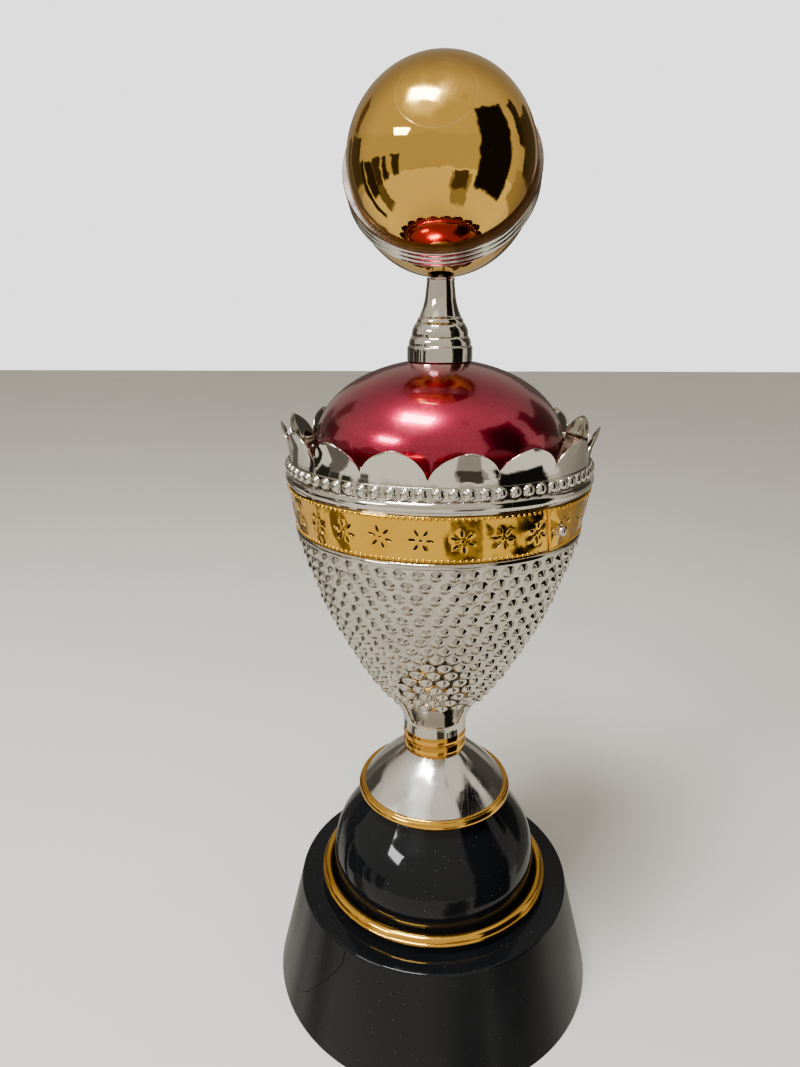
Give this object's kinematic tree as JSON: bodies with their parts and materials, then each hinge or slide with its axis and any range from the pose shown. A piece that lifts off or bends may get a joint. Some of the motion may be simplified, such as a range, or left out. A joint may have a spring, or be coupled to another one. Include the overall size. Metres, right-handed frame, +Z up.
{
  "type": "cup trophy",
  "caption": "Tall lidded cup trophy: pearl-pressed bowl with scalloped crown and pierced band, domed lid with column and ribbed ball, on a turned black base.",
  "frame": {"origin": "centre of the plinth's underside, where the trophy stands", "axes": "+Z up along the cup's axis; the front, which the seam ring of the ball tilts towards, faces -Y; +X is to the viewer's right"},
  "size_m": [0.259, 0.259, 0.6827],
  "materials": {
    "black_plastic": "deep black, high gloss, faint dust and hairline scratches",
    "hardboard": "plain brown hardboard, matt",
    "zinc_steel": "bright zinc plated steel hardware",
    "gold_metal": "polished gold lacquered metal",
    "band_gold": "thin gold lacquered strip, polished, slightly dented",
    "ball_gold": "mirror-bright gold lacquer with fine scratches",
    "bright_chrome": "bright nickel chrome plate",
    "bowl_chrome": "bright nickel plate over pressed pearls, warm tint in the hollows",
    "red_lacquer": "translucent candy red lacquer over metallic flake"
  },
  "bodies": {
    "cup": {"plinth": "black_plastic", "base_board": "hardboard", "base_washer": "zinc_steel", "base_nut": "zinc_steel", "tie_rod": "zinc_steel", "pedestal": "black_plastic", "pedestal_ring": "gold_metal", "foot_ring": "gold_metal", "foot_cone": "bright_chrome", "neck_collar": "gold_metal", "bowl": "bowl_chrome", "bowl_washer": "zinc_steel", "bowl_nut": "zinc_steel", "rim_moulding": "bright_chrome", "crown": "bright_chrome", "bead_strip": "bright_chrome", "band": "band_gold", "band_screw": "zinc_steel", "band_nut": "bright_chrome"},
    "lid": {"lid_dome": "red_lacquer", "lid_locating_ring": "bright_chrome"},
    "finial": {"lid_washer": "zinc_steel", "lid_nut": "zinc_steel", "finial_rod": "zinc_steel", "finial_column": "bright_chrome", "ball_washer": "zinc_steel", "ball_nut": "zinc_steel", "ball_rear": "ball_gold", "ball_seam_ring": "bright_chrome", "ball_front": "ball_gold"}
  },
  "joints": [
    {"name": "lid_lift", "type": "slide", "parent": "cup", "child": "lid", "axis": [0, 0, 1], "range_m": [0, 0.14]},
    {"name": "finial_turn", "type": "hinge", "parent": "lid", "child": "finial", "pos_m": [0, 0, 0.5], "axis": [0, 0, 1], "continuous": true}
  ]
}
